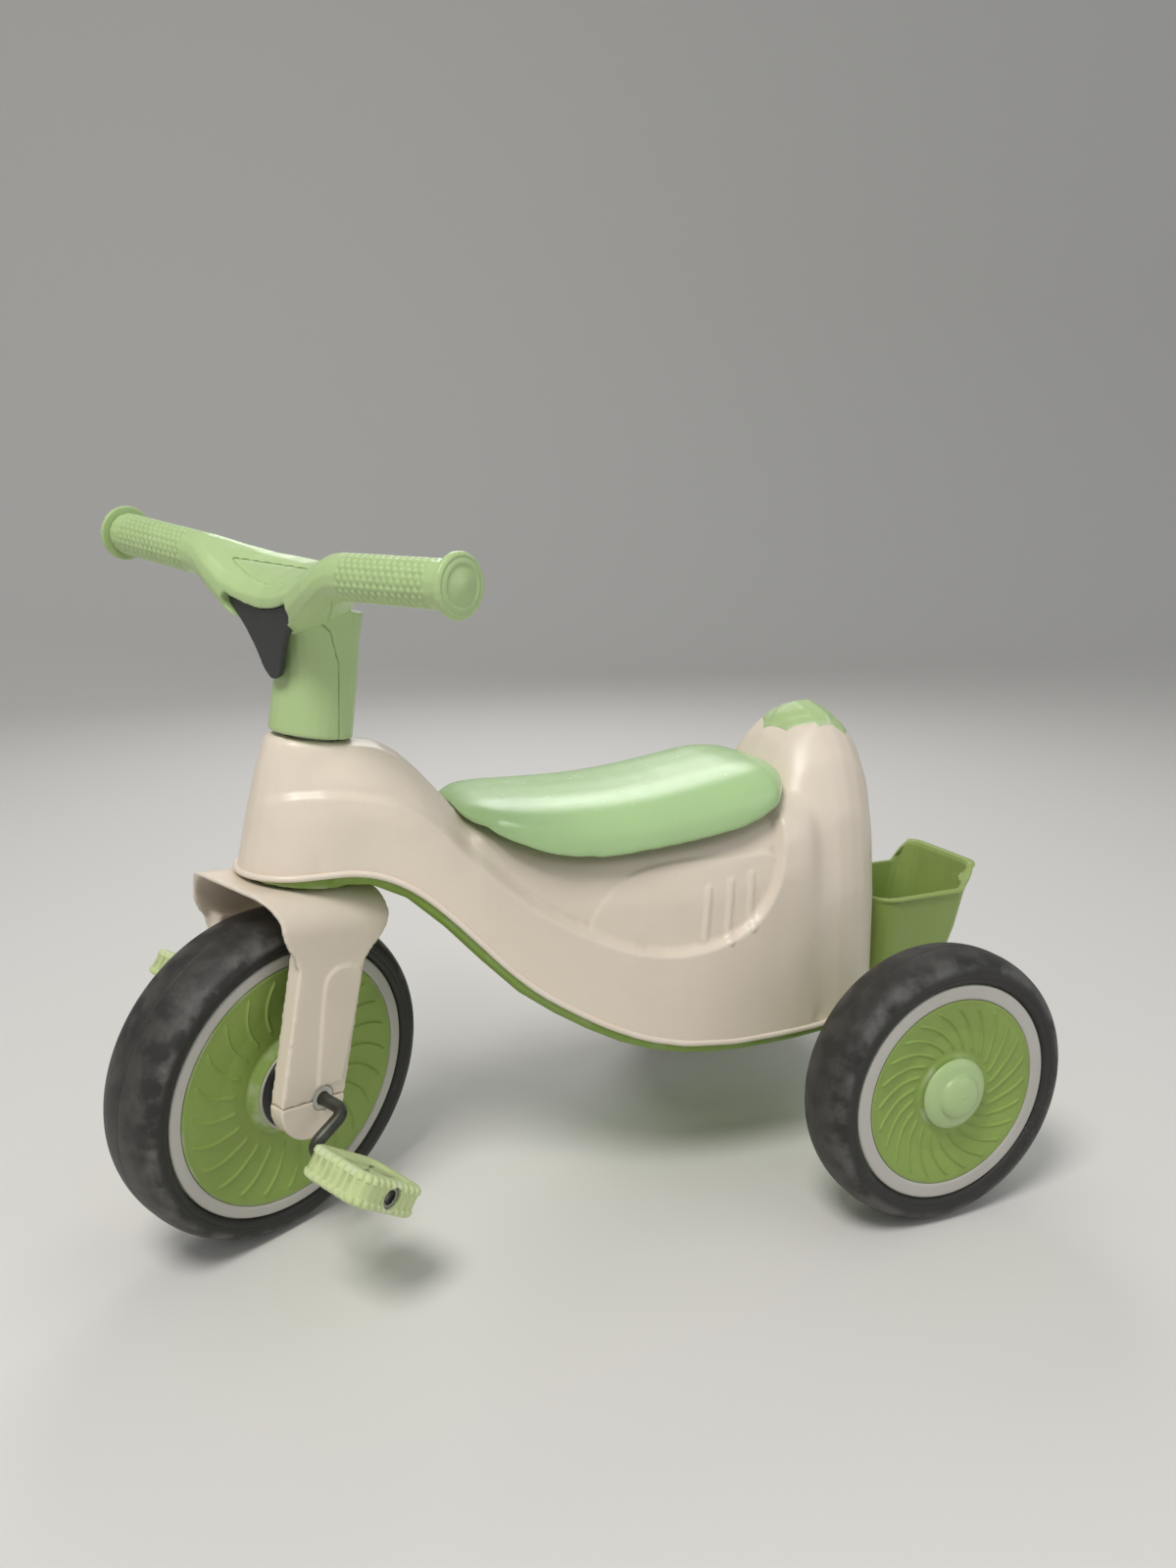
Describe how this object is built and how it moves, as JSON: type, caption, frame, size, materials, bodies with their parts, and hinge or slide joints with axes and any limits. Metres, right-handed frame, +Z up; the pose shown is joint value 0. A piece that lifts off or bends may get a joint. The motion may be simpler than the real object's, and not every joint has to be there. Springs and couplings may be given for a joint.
{
  "type": "children's tricycle",
  "caption": "Children's tricycle with a moulded body and seat, a pedal-driven steered front wheel, a broad handlebar, rear wheels on a through axle and a small rear basket.",
  "frame": {"origin": "middle of the outline, on the floor that the tyres stand on", "axes": "+X forward towards the front wheel, +Y to the rider's left, +Z up"},
  "size_m": [0.6918, 0.4066, 0.5042],
  "materials": {
    "cream": "satin moulded plastic",
    "green": "satin moulded plastic",
    "seat_mint": "glossy moulded plastic",
    "tray_green": "fine grain",
    "disc_green": "fine grain",
    "basket_green": "fine grain",
    "pedal_green": "fine grain",
    "ring_grey": "satin",
    "tyre_dark": "dusty foam rubber",
    "black": "satin",
    "trim_dark": "satin",
    "crank_steel": "dark coated rod",
    "axle_steel": "zinc plated",
    "bush_white": "natural nylon"
  },
  "bodies": {
    "frame": {"body_shell": "cream", "undertray": "tray_green", "seat": "seat_mint", "backrest_cap": "green", "basket": "basket_green", "tray_screw_1": "axle_steel", "tray_screw_2": "axle_steel", "tray_screw_3": "axle_steel", "tray_screw_4": "axle_steel", "rear_axle": "axle_steel", "axle_spacer_left": "tray_green", "axle_spacer_right": "tray_green", "axle_washer_left": "axle_steel", "axle_washer_right": "axle_steel", "axle_nut_left": "axle_steel", "axle_nut_right": "axle_steel", "steering_bush_upper": "bush_white", "steering_bush_lower": "bush_white"},
    "steering": {"fork": "cream", "fork_end_cap_left": "cream", "fork_end_cap_right": "cream", "crank_bush_left": "bush_white", "crank_bush_right": "bush_white", "fork_cap_screw_left": "axle_steel", "fork_cap_screw_right": "axle_steel", "steering_column": "axle_steel", "column_bolt": "axle_steel", "handlebar_front_shell": "green", "handlebar_rear_shell": "green", "handlebar_trim": "trim_dark", "grip_end_left": "green", "grip_end_right": "green", "stem_screw": "axle_steel"},
    "front_wheel": {"front_tyre": "tyre_dark", "front_wheel_left": "disc_green", "front_wheel_right": "disc_green", "front_trim_ring_left": "ring_grey", "front_trim_ring_right": "ring_grey", "front_hub_left": "black", "front_hub_right": "black", "front_hub_band_left": "ring_grey", "front_hub_band_right": "ring_grey", "crankshaft": "crank_steel", "pedal_nut_left": "axle_steel", "pedal_nut_right": "axle_steel"},
    "pedal_left": {"pedal_left": "pedal_green"},
    "pedal_right": {"pedal_right": "pedal_green"},
    "rear_wheel_left": {"rear_tyre_left": "tyre_dark", "rear_wheel_outer_left": "disc_green", "rear_wheel_inner_left": "disc_green", "rear_trim_ring_left": "ring_grey", "rear_hub_cap_left": "green", "rear_wheel_bush_left": "bush_white"},
    "rear_wheel_right": {"rear_tyre_right": "tyre_dark", "rear_wheel_outer_right": "disc_green", "rear_wheel_inner_right": "disc_green", "rear_trim_ring_right": "ring_grey", "rear_hub_cap_right": "green", "rear_wheel_bush_right": "bush_white"}
  },
  "joints": [
    {"name": "steering_pivot", "type": "hinge", "parent": "frame", "child": "steering", "pos_m": [0.23541, 0, 0.11687], "axis": [-0.1633, 0, 0.9866], "range_deg": [-73.9, 16.1]},
    {"name": "front_wheel_spin", "type": "hinge", "parent": "steering", "child": "front_wheel", "pos_m": [0.23541, 0, 0.11687], "axis": [-0.4768, 0.8755, -0.0789], "continuous": true},
    {"name": "pedal_left_spin", "type": "hinge", "parent": "front_wheel", "child": "pedal_left", "pos_m": [0.19896, 0.12632, 0.09107], "axis": [-0.4768, 0.8755, -0.0789], "continuous": true},
    {"name": "pedal_right_spin", "type": "hinge", "parent": "front_wheel", "child": "pedal_right", "pos_m": [0.27186, -0.12632, 0.14267], "axis": [-0.4768, 0.8755, -0.0789], "continuous": true},
    {"name": "rear_wheel_left_spin", "type": "hinge", "parent": "frame", "child": "rear_wheel_left", "pos_m": [-0.20539, 0.1697, 0.10083], "axis": [0, 1, 0], "continuous": true},
    {"name": "rear_wheel_right_spin", "type": "hinge", "parent": "frame", "child": "rear_wheel_right", "pos_m": [-0.20539, -0.1697, 0.10083], "axis": [0, 1, 0], "continuous": true}
  ]
}
